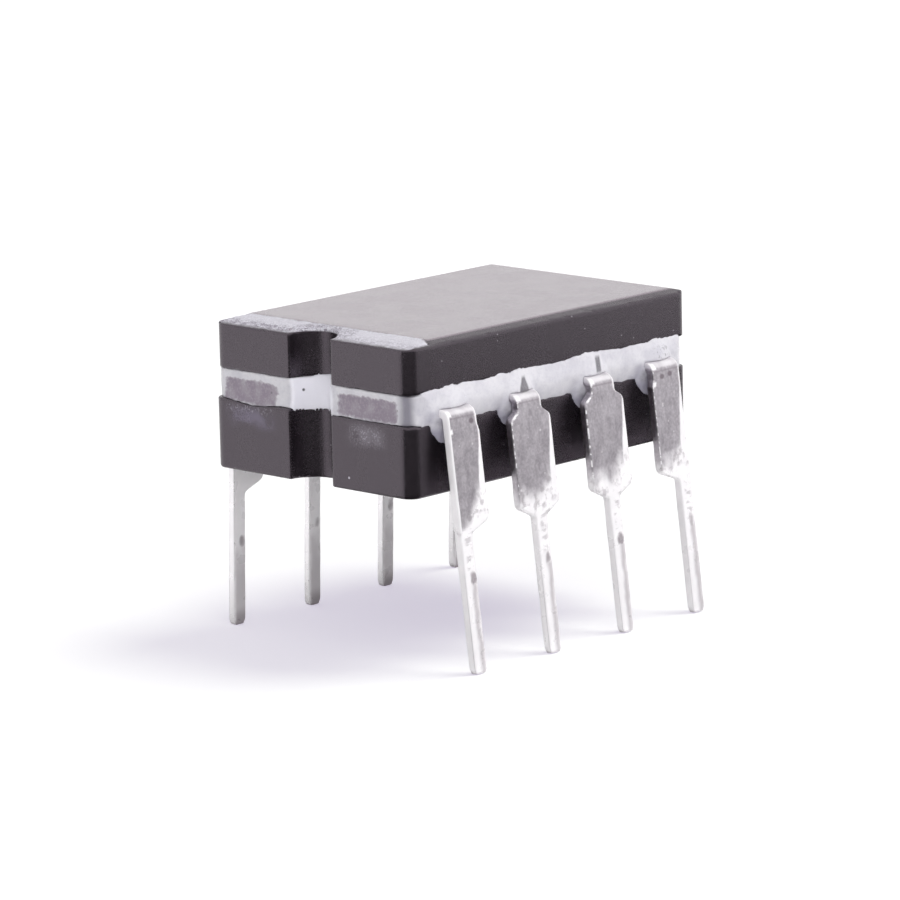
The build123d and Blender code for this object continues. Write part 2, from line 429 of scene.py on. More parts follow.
def working_copy(node, name):
    """A copy of one piece of the frame in millimetres, with its triangles joined."""
    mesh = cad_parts[node].data.copy()
    mesh.materials.clear()
    mesh.transform(Matrix.Scale(1 / MM, 4))
    piece = bpy.data.objects.new(name, mesh)
    bpy.context.scene.collection.objects.link(piece)
    pick(piece)
    bpy.ops.mesh.customdata_custom_splitnormals_clear()
    bpy.ops.object.mode_set(mode="EDIT")
    bpy.ops.mesh.select_all(action="SELECT")
    bpy.ops.mesh.remove_doubles(threshold=0.0005)
    bpy.ops.mesh.dissolve_limited(angle_limit=radians(0.5))
    bpy.ops.object.mode_set(mode="OBJECT")
    return piece


print("a piece can be copied")

# %% [markdown]
# ## An even skin
#
# A copy could be cut finer by hand, but a voxel remesh lays even squares over any shape in one step,
# and keeps it closed. Where the real edge is rounder than the solid's, a bevel comes first. A little
# smoothing takes away the steps of the voxels, and a piece that needs fewer faces is thinned.

# %% Skin a piece
SHARP_ANGLE = 28
BEVEL_STEPS = 2


def use_modifier(piece, kind, **settings):
    """Adds one modifier and applies it at once."""
    modifier = piece.modifiers.new(kind.lower(), kind)
    for name, value in settings.items():
        setattr(modifier, name, value)
    pick(piece)
    bpy.ops.object.modifier_apply(modifier=modifier.name)


def even_skin(piece, square, relax, keep=1.0, edge=0.0):
    """Rounds the edges, if asked, and gives the piece a skin of even squares."""
    if edge:
        sharp = {"limit_method": "ANGLE", "angle_limit": radians(SHARP_ANGLE)}
        use_modifier(piece, "BEVEL", width=edge, segments=BEVEL_STEPS, **sharp)
    use_modifier(piece, "REMESH", mode="VOXEL", voxel_size=square, use_smooth_shade=True)
    use_modifier(piece, "SMOOTH", factor=0.5, iterations=relax)
    if keep < 1:
        use_modifier(piece, "DECIMATE", ratio=keep)


print("a piece can be skinned")

# %% [markdown]
# ## Sculpting by rule
#
# On the even skin a chip, a drip or a swelling can be real shape. A stroke is a rule that says, for
# each point and its normal, how far it moves. Soft steps and humps keep the strokes free of creases. At
# the end no point may lie outside the solids' box, because a finish doesn't change the size of the
# part.

# %% Sculpt and hand over
def step(value, start, end):
    """A soft step from 0 at the start to 1 at the end."""
    share = min(max((value - start) / (end - start), 0.0), 1.0)
    return share * share * (3 - 2 * share)


def hump(value, centre, reach):
    """A soft hump: 1 at its centre and 0 past its reach."""
    return step(abs(value - centre), reach, 0)


def sculpt(piece, stroke):
    """Moves every point by what the stroke says of its place and its normal."""
    moves = [stroke(vertex.co, vertex.normal) for vertex in piece.data.vertices]
    for vertex, move in zip(piece.data.vertices, moves):
        vertex.co += move
    piece.data.update()


def finished(piece, material, node):
    """Keeps a piece in the box, brings it back to metres, paints it, and lets it stand for its node."""
    low, high = (corner / MM for corner in cad_box)
    for vertex in piece.data.vertices:
        vertex.co = [min(max(place, least), most) for place, least, most in zip(vertex.co, low, high)]
    piece.data.transform(Matrix.Scale(MM, 4))
    piece.data.materials.clear()
    piece.data.materials.append(material)
    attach(piece, "root")
    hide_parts(node)
    piece.data.calc_loop_triangles()
    print(piece.name, "has", len(piece.data.loop_triangles), "triangles")


print("a piece can be sculpted")

# %% [markdown]
# ## Ceramic base
#
# The two ceramic pieces were pressed from powder and fired, so they are dense, dark and slightly rough.
# The solid already has their rounded corners. What is missing are the small bites where a grain broke
# away. They are taken out along the level edges, where the surface turns, with noise deciding where. At
# the left of the notch the base's top edge is worn down, and the glass fills the dip.

# %% Shape the base
CERAMIC_SQUARE = 0.036
CERAMIC_KEEP = 0.42
BITE_DEPTH = 0.03
WORN_DEPTH = 0.08
WORN_CENTRE = 1.9
WORN_REACH = 1.1


def chipped(place, normal):
    """Small bites along the level edges."""
    level = abs(normal.z)
    upright = (normal.x**2 + normal.y**2) ** 0.5
    on_edge = step(min(level, upright), 0.25, 0.6)
    bite = step(noise.noise(place * 6.3), 0.2, 0.55)
    return normal * (-BITE_DEPTH * on_edge * bite)


def worn_edge(place):
    """How far the base's top edge is worn down, which fades out above and below the seam."""
    at_end = step(place.x, base_low.x + 0.35, base_low.x + 0.1)
    above = step(place.z, base_high.z + 0.3, base_high.z)
    at_seam = step(place.z, base_high.z - 0.2, base_high.z - 0.05) * above
    return WORN_DEPTH * at_end * at_seam * hump(place.y, WORN_CENTRE, WORN_REACH)


base = working_copy("ceramic_base", "dressed_base")
even_skin(base, CERAMIC_SQUARE, 1, CERAMIC_KEEP)
sculpt(base, chipped)
sculpt(base, lambda place, normal: Vector((0, 0, -worn_edge(place))))
print("base skinned with", len(base.data.vertices), "points")

# %% [markdown]
# ## Ceramic cap
#
# The cap is chipped in the same way. On its wide bevel at the notch end the fired skin is grainy, so
# that strip is also roughened, by noise of two sizes that takes away more than it adds.

# %% Shape the cap
STRIP_END = cap_low.x + END_BEVEL
STRIP_ROUGHNESS = 0.016


def frosted(place, normal):
    """Roughens the bevel at the notch end."""
    on_strip = step(place.x, STRIP_END + 0.1, STRIP_END - 0.1) * step(normal.z, 0.6, 0.9)
    grain = noise.noise(place * 9.0) + 0.6 * noise.noise(place * 19.0)
    return normal * (-STRIP_ROUGHNESS * on_strip * (0.6 + grain))


cap = working_copy("ceramic_cap", "dressed_cap")
even_skin(cap, CERAMIC_SQUARE, 1, CERAMIC_KEEP)
sculpt(cap, chipped)
sculpt(cap, frosted)
print("cap skinned with", len(cap.data.vertices), "points")

# %% [markdown]
# ## Finish of the ceramic
#
# Fired alumina with dark oxides is nearly black, and most of what the eye sees on it is the white room
# in its satin skin. So the colour is kept very dark, with faint mottling and a fine grain, and the
# roughness does the work. Both pieces share this skin.

# %% Mix the fired skin
CERAMIC_DARK = (0.004, 0.003, 0.004)
CERAMIC_LIGHT = (0.022, 0.018, 0.022)
SPECK_COLOUR = (0.34, 0.32, 0.35)
CERAMIC_GLOSS = {"IOR": 1.85, "Specular_Tint": (1.0, 0.85, 0.995, 1)}
GRAIN_DEPTH = 0.003


def fired_skin(finish):
    """Colour, roughness and relief that both ceramic pieces share."""
    mottling = finish.fade(finish.noise(1.1, 3, (1, 1, 0.5)), 0.35, 0.65)
    grain = finish.fade(finish.noise(30, 3), 0.3, 0.7)
    fine = finish.fade(finish.noise(55, 2), 0.35, 0.65)
    colour = finish.blend(mottling * 0.2 + grain * 0.8 * fine, CERAMIC_DARK, CERAMIC_LIGHT)
    specks = finish.specks(7, 0.15, 0.06) * 0.8
    colour = finish.blend(specks, colour, SPECK_COLOUR)
    roughness = 0.21 + 0.05 * grain + 0.05 * mottling
    relief = grain * 0.3 + fine * 0.3 + specks * 0.6
    return colour, roughness, relief


print("fired skin mixed")

# %% [markdown]
# ## Smears on the base
#
# Under the seam at the notch end some pale film was left on the ceramic: a bluish smear at the left, a
# dusty one at the right. They are colour only. Each is a soft window on the end face, broken up by a
# hazy noise.

# %% Paint the base
SMEAR_COLOUR = (0.26, 0.24, 0.36)
DUST_COLOUR = (0.55, 0.53, 0.60)
DUST_GRAIN = (base_low.x, -1.22, 4.36)


def base_finish():
    """Ceramic of the base, with its smears."""
    finish = Finish("fired ceramic of the base", **CERAMIC_GLOSS)
    colour, roughness, relief = fired_skin(finish)
    end_face = finish.fade(finish.x, base_low.x + 0.06, base_low.x + 0.02)
    left = finish.between(finish.y, 1.25, 2.6, 0.3) * finish.between(finish.z, 5.2, 5.58, 0.16)
    right = finish.between(finish.y, -2.3, -1.35, 0.25) * finish.between(finish.z, 5.2, 5.62, 0.14)
    dots = finish.between(finish.y, 1.2, 2.7, 0.1) * finish.between(finish.z, 5.5, 5.66, 0.04)
    dust = finish.fade(finish.noise(20, 3), 0.54, 0.66)
    haze = finish.fade(finish.noise(2.6, 4), 0.30, 0.62)
    colour = finish.blend(left * end_face * haze * 0.34, colour, SMEAR_COLOUR)
    colour = finish.blend(right * end_face * haze * 0.18, colour, DUST_COLOUR)
    colour = finish.blend(dots.most(right) * end_face * dust * 0.38, colour, DUST_COLOUR)
    colour = finish.blend(finish.near(DUST_GRAIN, 0.04), colour, DUST_COLOUR)
    return finish.feed(Base_Color=colour, Roughness=roughness, Normal=finish.wear(relief, GRAIN_DEPTH))


finished(base, base_finish(), "ceramic_base")

# %% [markdown]
# ## Frost on the cap's bevel
#
# The bevel at the notch end has a whitish frosted skin. Its inner border is ragged and turns off
# towards the near corner. Dark grains show through it, most of all along the outer edge and round the
# notch, so the frost needs to know how far each of its points is from the notch's wall.

# %% Mix the frost
FROST_COLOUR = (0.80, 0.79, 0.855)
FROST_SHADE = (0.22, 0.20, 0.245)
BEVEL_FOOT = cap_high.z - CAP_BEVEL


def frost_mask(finish):
    """1 on the frosted strip of the cap's bevel."""
    corner = finish.fade(finish.y, cap_low.y + 0.5, cap_low.y + 0.1)
    wander = 0.10 * (finish.noise(2.2, 4) - 0.5) + 0.14 * (finish.noise(14, 4) - 0.5)
    edge = STRIP_END - 0.16 * corner + wander
    on_bevel = finish.fade(finish.z, BEVEL_FOOT - 0.015, BEVEL_FOOT + 0.015)
    from_corner = finish.fade(finish.y, cap_low.y + 0.04, cap_low.y + 0.13)
    return finish.fade(finish.x - edge, 0.03, -0.03) * on_bevel * from_corner


def past_notch(finish):
    """How far a point lies outside the notch's wall, seen from above, in millimetres."""
    level_place = finish.add("ShaderNodeMapping", {}, {0: finish.place, "Scale": (1, 1, 0)})
    ends = {0: level_place, 1: (cap_low.x, (cap_low.y + cap_high.y) / 2, 0)}
    return finish.add("ShaderNodeVectorMath", {"operation": "DISTANCE"}, ends, "Value") - NOTCH_RADIUS


def frost_grains(finish, scuffs):
    """How much of the dark ceramic shows through the frost."""
    from_notch = past_notch(finish)
    inwards = (finish.x - cap_low.x).least(from_notch)
    outer_band = finish.mix(finish.fade(inwards, 0.6, 0.3), 0.35, 1.0)
    left_part = finish.mix(finish.fade(finish.y, -1.6, 0.2), 0.6, 1.0)
    grainy = finish.fade(inwards, 0.01, 0.05) * outer_band * left_part
    clumps = finish.fade(finish.noise(5, 4), 0.62, 0.40)
    grains = finish.fade(finish.noise(22, 3), 0.55, 0.42)
    dark = grainy * (clumps * 0.45 + grains).least(1.0) * (0.7 + 0.3 * clumps)
    left_rim = finish.fade(inwards, 0.3, 0.12) * finish.fade(finish.y, -0.5, 0.6)
    rim = finish.fade(from_notch, 0.28, 0.12).most(left_rim)
    return dark.most(rim * grains * 0.9).most(0.34 * (1 - scuffs))


print("frost reaches", END_BEVEL, "mm in from the end of the cap")

# %% [markdown]
# ## Finish of the cap
#
# The cap's level top mirrors the room at a low angle. A clear coat gives that sheen without making the
# sides glossy, and a lighter mauve colour on the top is a painted sheen. Small chips of frost sit along the
# front edge of the top.

# %% Paint the cap
TOP_SHEEN_TINT = (0.088, 0.052, 0.077)
TOP_SHEEN_LIGHT = (0.115, 0.075, 0.102)
TOP_COAT = 0.68
FROST_ROUGHNESS = 0.75


def cap_finish():
    """Ceramic of the cap, with its frosted bevel and a painted mauve sheen on its top."""
    finish = Finish("fired ceramic of the cap", Coat_Roughness=0.2, Coat_IOR=1.5, **CERAMIC_GLOSS)
    colour, roughness, relief = fired_skin(finish)
    strip = frost_mask(finish)
    scuffs = finish.fade(finish.noise(34, 3), 0.34, 0.62)
    dark_grains = frost_grains(finish, scuffs)
    top = finish.fade(finish.z, cap_high.z - 0.03, cap_high.z - 0.01) * (1 - strip)
    sheen_mottle = finish.fade(finish.noise(5, 6), 0.35, 0.65)
    # Painted sheen: the top face gets a lighter mauve colour.
    colour = finish.blend(top, colour, finish.blend(sheen_mottle, TOP_SHEEN_TINT, TOP_SHEEN_LIGHT))
    on_edge = finish.between(finish.z, BEVEL_FOOT - 0.03, BEVEL_FOOT + 0.01, 0.02)
    chips = finish.specks(7, 0.22, 0.10) * on_edge * finish.fade(finish.y, -2.9, -3.1)
    colour = finish.blend(chips, colour, FROST_COLOUR)
    colour = finish.blend(strip, colour, finish.blend(dark_grains, FROST_COLOUR, FROST_SHADE))
    roughness = finish.mix(strip, roughness, FROST_ROUGHNESS)
    normal = finish.wear(relief + strip * (scuffs * 2 - dark_grains * 2), GRAIN_DEPTH)
    return finish.feed(Base_Color=colour, Roughness=roughness, Normal=normal, Coat_Weight=top * TOP_COAT)


finished(cap, cap_finish(), "ceramic_cap")

# %% [markdown]
# ## The glass seal
#
# The glass was a paste that melted and set again. Between the leads it crept up over the cap in low
# waves, with a crest by each lead, and it hangs in round drips beside the necks of the leads. To wave
# the free upper edge, its present height is read off the copy first, in narrow columns along the body.

# %% Skin the glass
GLASS_SQUARE = 0.036
GLASS_KEEP = 0.55
COLUMN = 0.12
EDGE_HEIGHT = 6.51
FRONT_GLASS = -3.2


def edge_heights(piece):
    """Height of the front glass's upper edge in narrow columns along the body."""
    heights = {}
    for vertex in piece.data.vertices:
        if vertex.co.y < FRONT_GLASS:
            column = round(vertex.co.x / COLUMN)
            heights[column] = max(heights.get(column, 0.0), vertex.co.z)
    return heights


def edge_at(x):
    """The same height between two columns."""
    column = floor(x / COLUMN)
    share = x / COLUMN - column
    first, second = (edge_now.get(number, EDGE_HEIGHT) for number in (column, column + 1))
    return first + share * (second - first)


glass = working_copy("glass_seal", "dressed_glass")
even_skin(glass, GLASS_SQUARE, 3, GLASS_KEEP)
edge_now = edge_heights(glass)
print("upper edge of the glass in", len(edge_now), "columns")

# %% [markdown]
# ## Waves and lumps in the glass
#
# The stroke for the glass has three parts. The free edges go up and down: in planned crests at the
# front, and by a ragged noise everywhere. The faces swell a little, unevenly, as melted glass does. In
# the notch the glass draws towards the middle and climbs at its right side.

# %% Shape the glass
GLASS_SWELL = 0.03
EDGE_RAGGED = 0.03
NOTCH_SWELL = 0.025
NOTCH_CLIMB = 0.10
CREST_PLACES = [(-3.35, 1.2, 0.03), (-1.15, 1.15, 0.06), (1.25, 1.15, 0.085), (3.7, 1.2, 0.03)]
HIDDEN_TO_X = 4.5
HIDDEN_TO_Y = 2.9
UPPER_EDGE = (6.35, 6.48)
LOWER_EDGE = (5.85, 5.72)


def edge_lift(place, free):
    """How far the free edges of the glass move up or down."""
    crest = sum(rise * hump(place.x, centre, reach) for centre, reach, rise in CREST_PLACES)
    wave = EDGE_HEIGHT + crest - edge_at(place.x)
    upper = step(place.z, *UPPER_EDGE)
    lower = step(place.z, *LOWER_EDGE)
    ragged = EDGE_RAGGED * (noise.noise(place * 3.1) + 0.6 * noise.noise(place * 8.3))
    return wave * upper * step(place.y, -3.0, -3.2) + ragged * free * max(upper, lower)


def melted(place, normal):
    """Swells the glass, waves its free edges and makes it lumpy."""
    outside = max(abs(place.x) - HIDDEN_TO_X, abs(place.y) - HIDDEN_TO_Y)
    free = step(outside, 0.0, 0.15)
    lumps = 0.5 + 0.5 * noise.noise(place * 1.7) + 0.25 * noise.noise(place * 4.3)
    swell = GLASS_SWELL * free * step(max(abs(normal.x), abs(normal.y)), 0.3, 0.8) * lumps
    to_notch = Vector((base_low.x - place.x, -place.y, 0))
    in_notch = step(to_notch.length, NOTCH_RADIUS + 0.2, NOTCH_RADIUS + 0.05)
    to_notch.normalize()
    outwards = Vector((0, normal.y, normal.z * 0.3)) * swell * (1 - in_notch)
    climb = NOTCH_CLIMB * in_notch * step(place.z, *UPPER_EDGE) * step(place.y, NOTCH_RADIUS, -NOTCH_RADIUS)
    lift = edge_lift(place, free) + climb - worn_edge(place)
    return outwards + to_notch * (NOTCH_SWELL * in_notch) + Vector((0, 0, lift))


sculpt(glass, melted)
print("glass swelled by up to", GLASS_SWELL, "mm")

# %% [markdown]
# ## Colours of the glass
#
# Sealing glass is milky white with a cool tint, and whitest in the notch. At the notch end it is thin
# over the metal frame's old tie strips, which show as grey patches with ragged, frosted borders. Two
# soft windows give the patches their place. Noise of two sizes is added before the threshold, so that
# islands break off.

# %% Mix the glass
GLASS_WHITE = (0.725, 0.71, 0.755)
GLASS_SHADE = (0.52, 0.505, 0.575)
NOTCH_WHITE = (0.90, 0.885, 0.965)
TIE_PATCHES = [((1.14, 2.86), (5.70, 6.26)), ((-2.74, -0.86), (5.77, 6.30))]


def milky(finish, cloud, fine):
    """Milky white with cooler clouds."""
    shade = cloud * 0.5 + finish.fade(fine, 0.45, 0.7) * 0.25
    colour = finish.blend(shade, GLASS_WHITE, GLASS_SHADE)
    notch = finish.between(finish.y, -NOTCH_RADIUS, NOTCH_RADIUS, 0.06) * finish.fade(finish.x, -4.0, -4.1)
    return finish.blend(notch, colour, NOTCH_WHITE)


def tie_patches(finish):
    """1 on the grey patches of the end face."""
    left, right = (
        finish.between(finish.y, *across, 0.16) * finish.between(finish.z, *up, 0.11)
        for across, up in TIE_PATCHES
    )
    islands = 0.8 * (finish.noise(3.4, 2) - 0.5) + 0.9 * (finish.noise(11, 4) - 0.5)
    raw = left.most(right) + islands
    thin_and_full = finish.fade(raw, 0.40, 0.54) * 0.55 + finish.fade(raw, 0.52, 0.85) * 0.45
    frost = 1 - 0.16 * finish.fade(finish.noise(20, 4), 0.45, 0.68)
    return finish.fade(finish.x, -4.55, -4.62) * thin_and_full * frost


print("tie patches:", len(TIE_PATCHES))

# %% [markdown]
# ## Painted shade on the drips, and marks on the glass
#
# The rounded corner and the lower part of the drips get painted shade, darker and bluer than the rest and
# deepest in the nooks beside the leads' necks. Two dark drops stand above leads 2 and 3: one is pointed,
# one is straight. The collar there is a dome, so their middle line leans with it. A few flecks lie above
# lead 4.

# %% Mark the glass
DRIP_SHADE_COLOUR = (0.325, 0.31, 0.395)
CORNER_SHADE_COLOUR = (0.275, 0.262, 0.31)
MARK_AND_NOOK_SHADE_COLOUR = (0.13, 0.12, 0.14)
NECK_EDGES = [-3.99, -1.67, 0.87, 3.06]
TEARDROPS = [(-1.14, 6.10, 0.15, 0.06), (1.44, 6.17, 0.085, 0.085)]
DROP_TALL = 0.3
DOME_LEAN = 0.7
GLASS_FACE = -3.3
FLECKS_PLACE = (3.68, -3.35, 6.24)
NOTCH_DOT = (-4.5, 0.49, 6.17)


def painted_drip_shade(finish, colour, cloud, front):
    """Painted shade on the glass at the corner, in the drips and in the nooks beside the necks."""
    wander = 0.09 * (finish.noise(2.6, 3) - 0.5)
    # Painted shade: a darker band down the rounded corner.
    corner = finish.between(finish.x - finish.y + wander, -1.9, -1.5, 0.16)
    colour = finish.blend(corner * finish.fade(finish.x, -4.2, -4.4), colour, CORNER_SHADE_COLOUR)
    # Painted shade: the glass darkens towards the bottom of the drips.
    colour = finish.blend(finish.fade(finish.z, 5.72, 5.5) * front * 0.85, colour, DRIP_SHADE_COLOUR)
    for edge in NECK_EDGES:
        # Painted shade beside each neck, deepest in its nook.
        shade_beside_neck = finish.near((edge - 0.1, GLASS_FACE, 5.78), 0.48, 0.8) * (0.3 + 0.5 * cloud)
        colour = finish.blend(shade_beside_neck, colour, DRIP_SHADE_COLOUR)
        nook_shade = finish.near((edge - 0.02, GLASS_FACE - 0.1, 5.72), 0.2, 1.2) * (0.2 + 0.5 * cloud)
        colour = finish.blend(nook_shade, colour, MARK_AND_NOOK_SHADE_COLOUR)
    return colour


def marked(finish, colour, fine, front):
    """Two dark drops, a few flecks, a dot in the notch and small bubbles."""
    upright = finish.x - DOME_LEAN * (finish.y - GLASS_FACE)
    for x, height, foot, top in TEARDROPS:
        width = finish.mix(finish.fade(finish.z, height, height + DROP_TALL), foot, top)
        across = finish.fade((upright - x).most(x - upright) - width, 0.03, -0.03)
        drop = across * finish.between(finish.z, height - 0.05, height + DROP_TALL, 0.05) * front
        colour = finish.blend(drop * (0.68 + 0.35 * fine), colour, MARK_AND_NOOK_SHADE_COLOUR)
    colour = finish.blend(finish.near(NOTCH_DOT, 0.05), colour, MARK_AND_NOOK_SHADE_COLOUR)
    flecks = finish.near(FLECKS_PLACE, 0.5, 0.4, 3) * finish.fade(finish.noise(11, 4), 0.54, 0.62)
    colour = finish.blend(flecks * 0.45, colour, MARK_AND_NOOK_SHADE_COLOUR)
    return finish.blend(finish.specks(3.2, 0.14, 0.08) * 0.6, colour, MARK_AND_NOOK_SHADE_COLOUR)


print("necks with drips:", len(NECK_EDGES))

# %% [markdown]
# ## Finish of the glass
#
# The layers go on in this order: the milky glass, the grey patches that show through it, the painted shade
# on the corner and the drips, and the marks on top. The clouds also raise the surface a little, so that
# they catch the light.

# %% Paint the glass
PATCH_COLOUR = (0.275, 0.23, 0.285)
PATCH_LIGHT = (0.40, 0.36, 0.41)
CLOUD_DEPTH = 0.01


def glass_finish():
    """Milky glass with its patches, drips and marks."""
    finish = Finish("milky sealing glass", IOR=1.52)
    cloud = finish.fade(finish.noise(2.0, 5), 0.38, 0.7)
    fine = finish.noise(14, 4)
    front = finish.fade(finish.y, -3.0, -3.15)
    patches = tie_patches(finish)
    patch_haze = finish.fade(finish.noise(3, 5), 0.40, 0.70) * 0.6
    colour = milky(finish, cloud, fine)
    colour = finish.blend(patches, colour, finish.blend(patch_haze, PATCH_COLOUR, PATCH_LIGHT))
    colour = painted_drip_shade(finish, colour, cloud, front)
    colour = marked(finish, colour, fine, front)
    roughness = 0.22 + 0.08 * fine + 0.25 * patches
    relief = finish.wear(cloud * 0.5 + fine * 0.1, CLOUD_DEPTH)
    return finish.feed(Base_Color=colour, Roughness=roughness, Normal=relief)


finished(glass, glass_finish(), "glass_seal")

# %% [markdown]
# ## Where a point of a lead lies
#
# The finish of a lead follows its edges: a painted highlight runs down the right one, and painted glints
# lie along the left one. A pattern in plain coordinates would miss the widening and the splay. So each
# point keeps three numbers: its distance from the left and from the right edge of its row, and how far it
# faces out. The shader reads them.

# %% Note the edges
ROW_HEIGHT = 0.05
NO_EDGE = 10.0


def note(piece, name, values):
    """Keeps one number for each point, which a finish can read."""
    piece.data.attributes.new(name, "FLOAT", "POINT").data.foreach_set("value", values)


def note_edges(piece, front):
    """Notes the three numbers for each point of a lead."""
    points = piece.data.vertices
    rows = [round(point.co.z / ROW_HEIGHT) if abs(point.co.y) > base_high.y else None for point in points]
    edges = {None: (-NO_EDGE, NO_EDGE)}
    for point, row in zip(points, rows):
        if row is not None:
            left, right = edges.get(row, (point.co.x, point.co.x))
            edges[row] = (min(left, point.co.x), max(right, point.co.x))
    note(piece, "from_left", [point.co.x - edges[row][0] for point, row in zip(points, rows)])
    note(piece, "from_right", [edges[row][1] - point.co.x for point, row in zip(points, rows)])
    note(piece, "facing", [point.normal.y * front for point in points])


print("rows of a lead:", round(BEND_TOP / ROW_HEIGHT))

# %% [markdown]
# ## The leads
#
# Each lead was stamped from nickel-iron sheet, bent down, and dipped in solder up to its wide part. The
# punch rounded its outer edges, and the solder left the pin a little swollen and wavy. The leg is
# turned upright first, so that the voxels lie along it. Then the edges are rounded, the skin is made
# even, the leg is turned back, and solder is added below a ragged line.

# %% Shape the leads
LEAD_EDGE = 0.018
LEAD_SQUARE = 0.026
DIP_HEIGHT = 4.0
DIP_RAGGED = 0.18
SOLDER_SWELL = 0.012
METAL_WAVE = 0.003
FRONT_SPLAY = 6.8
REAR_SPLAY = 2.3


def soldered(place, normal):
    """Solder below the dip line, with small lumps and runs."""
    line = DIP_HEIGHT + DIP_RAGGED * noise.noise(Vector((place.x * 3, place.y * 0.5, place.z)))
    dipped = step(place.z, line, line - 0.25) * step(place.z, 0.0, 0.25)
    lumps = 0.7 + 0.5 * noise.noise(place * 1.9)
    wave = METAL_WAVE * noise.noise(place * 2.0)
    return normal * (SOLDER_SWELL * dipped * lumps + wave * step(place.z, 0.0, 0.3))


def straighten(piece, splay):
    """Turns the splayed leg of a lead upright, or back again."""
    turn = Matrix.Rotation(radians(splay), 4, "X")
    bend = Vector((0, lead_low.y, BEND_TOP))
    piece.data.transform(Matrix.Translation(bend) @ turn @ Matrix.Translation(-bend))


leads = []
for number in range(1, 2 * LEADS_PER_ROW + 1):
    in_front = number <= LEADS_PER_ROW
    splay = FRONT_SPLAY if in_front else -REAR_SPLAY
    lead = working_copy(f"lead_{number}", f"dressed_lead_{number}")
    straighten(lead, splay)
    even_skin(lead, LEAD_SQUARE, 2, edge=LEAD_EDGE)
    straighten(lead, -splay)
    note_edges(lead, -1 if in_front else 1)
    sculpt(lead, soldered)
    leads.append(lead)
print("leads shaped:", len(leads))

# %% [markdown]
# ## Where iron ends and solder begins
#
# Above the dip line the bare nickel-iron is dull grey. The line isn't level: on the front row it hangs down
# in a grey tongue along the left edge, and on the rear row it lies higher. A painted highlight in the
# solder's white climbs the rounded right edge. The punched corner, the bend and the flare carry painted
# highlights, in short white glints.

# %% Zones of a lead
BEND_LOW = 5.88
FLARE = (5.52, 5.63)
FIRST_NECK = -3.93


def lead_places():
    """A finish that knows where each of its points lies on the lead."""
    finish = Finish("soldered lead")
    finish.from_left, finish.from_right, finish.facing = (
        finish.noted(name) for name in ("from_left", "from_right", "facing")
    )
    finish.front_row = finish.fade(finish.y, 1, 0)
    finish.rear_row = 1 - finish.front_row
    finish.outer = finish.fade(finish.facing, -0.3, 0.1)
    finish.ragged = finish.noise(3.2, 5, (1, 1, 0.6)) - 0.5
    finish.blotchy = finish.fade(finish.noise(3.0, 4), 0.3, 0.7)
    return finish


def dip_line(finish):
    """Height of the line between iron and solder."""
    tongue_length = 0.42 + 0.35 * finish.fade(finish.x, -2.6, -2.8)
    tongue = finish.fade(finish.from_right, 0.15, 0.75) * tongue_length
    return DIP_HEIGHT + 0.15 + 0.8 * finish.ragged + finish.mix(finish.front_row, 0.6, 0 - tongue)


def solder_and_edge_highlight_mask(finish, line):
    """1 below the line, and on the painted highlight strip that climbs the right edge."""
    # Painted highlight: a white strip up the rounded right edge, widening downwards.
    width = finish.mix(finish.fade(finish.z, 5.6, 4.0), 0.055, 0.22)
    strip = finish.fade(finish.from_right - width + 0.06 * finish.ragged, 0.03, -0.03)
    return finish.fade(finish.z, line + 0.28, line - 0.28).most(strip)


def painted_glint_mask(finish):
    """1 on the painted highlights: glints on the punched corner, the bend, the flare and the side of lead
    1.
    """
    from_left, facing = finish.from_left, finish.facing
    # Painted highlights: the rounded left corner, facets of the bend and flare, and the side of lead 1.
    corner = finish.between(facing, 0.3, 0.93, 0.05) * finish.fade(from_left, 0.09, 0.05)
    nicks = finish.fade(finish.noise(9, 3, (0.3, 0.3, 1)), 0.47, 0.55)
    in_bend = finish.between(finish.z, BEND_LOW + 0.03, BEND_TOP - 0.02, 0.03)
    in_flare = finish.between(finish.z, *FLARE, 0.03)
    bend_glint = finish.fade(from_left, 0.17, 0.12) * in_bend
    flare_glint = finish.fade(from_left, 0.13, 0.08) * in_flare
    facets = finish.fade(facing, 0.1, 0.3) * bend_glint.most(flare_glint)
    first_lead_side_highlight = finish.fade(finish.x, FIRST_NECK, FIRST_NECK - 0.03) * finish.fade(finish.y, -3.2, -3.3)
    return (corner * nicks).most(facets).most(first_lead_side_highlight)


print("dip line at", DIP_HEIGHT, "mm")

# %% [markdown]
# ## Bare nickel-iron
#
# The sheet was rolled, so its grey is faintly drawn along its length, with grit and a few bright specks.
# The bend top gets a painted highlight, with a thin line of painted shade in the crease under it. Leads 1
# and 4 have small dark spots there.

# %% Mix the iron
IRON_DARK = (0.34, 0.31, 0.345)
IRON_PALE_AND_BEND_SHEEN = (0.70, 0.66, 0.705)
SOLDER_AND_GLINT_WHITE = (0.985, 0.96, 0.985)
STAIN_AND_SHADE_COLOUR = (0.26, 0.22, 0.25)
BEND_SPOTS = [(-3.25, -3.65, 5.74), (3.36, -3.65, 5.73), (3.64, -3.65, 5.76)]


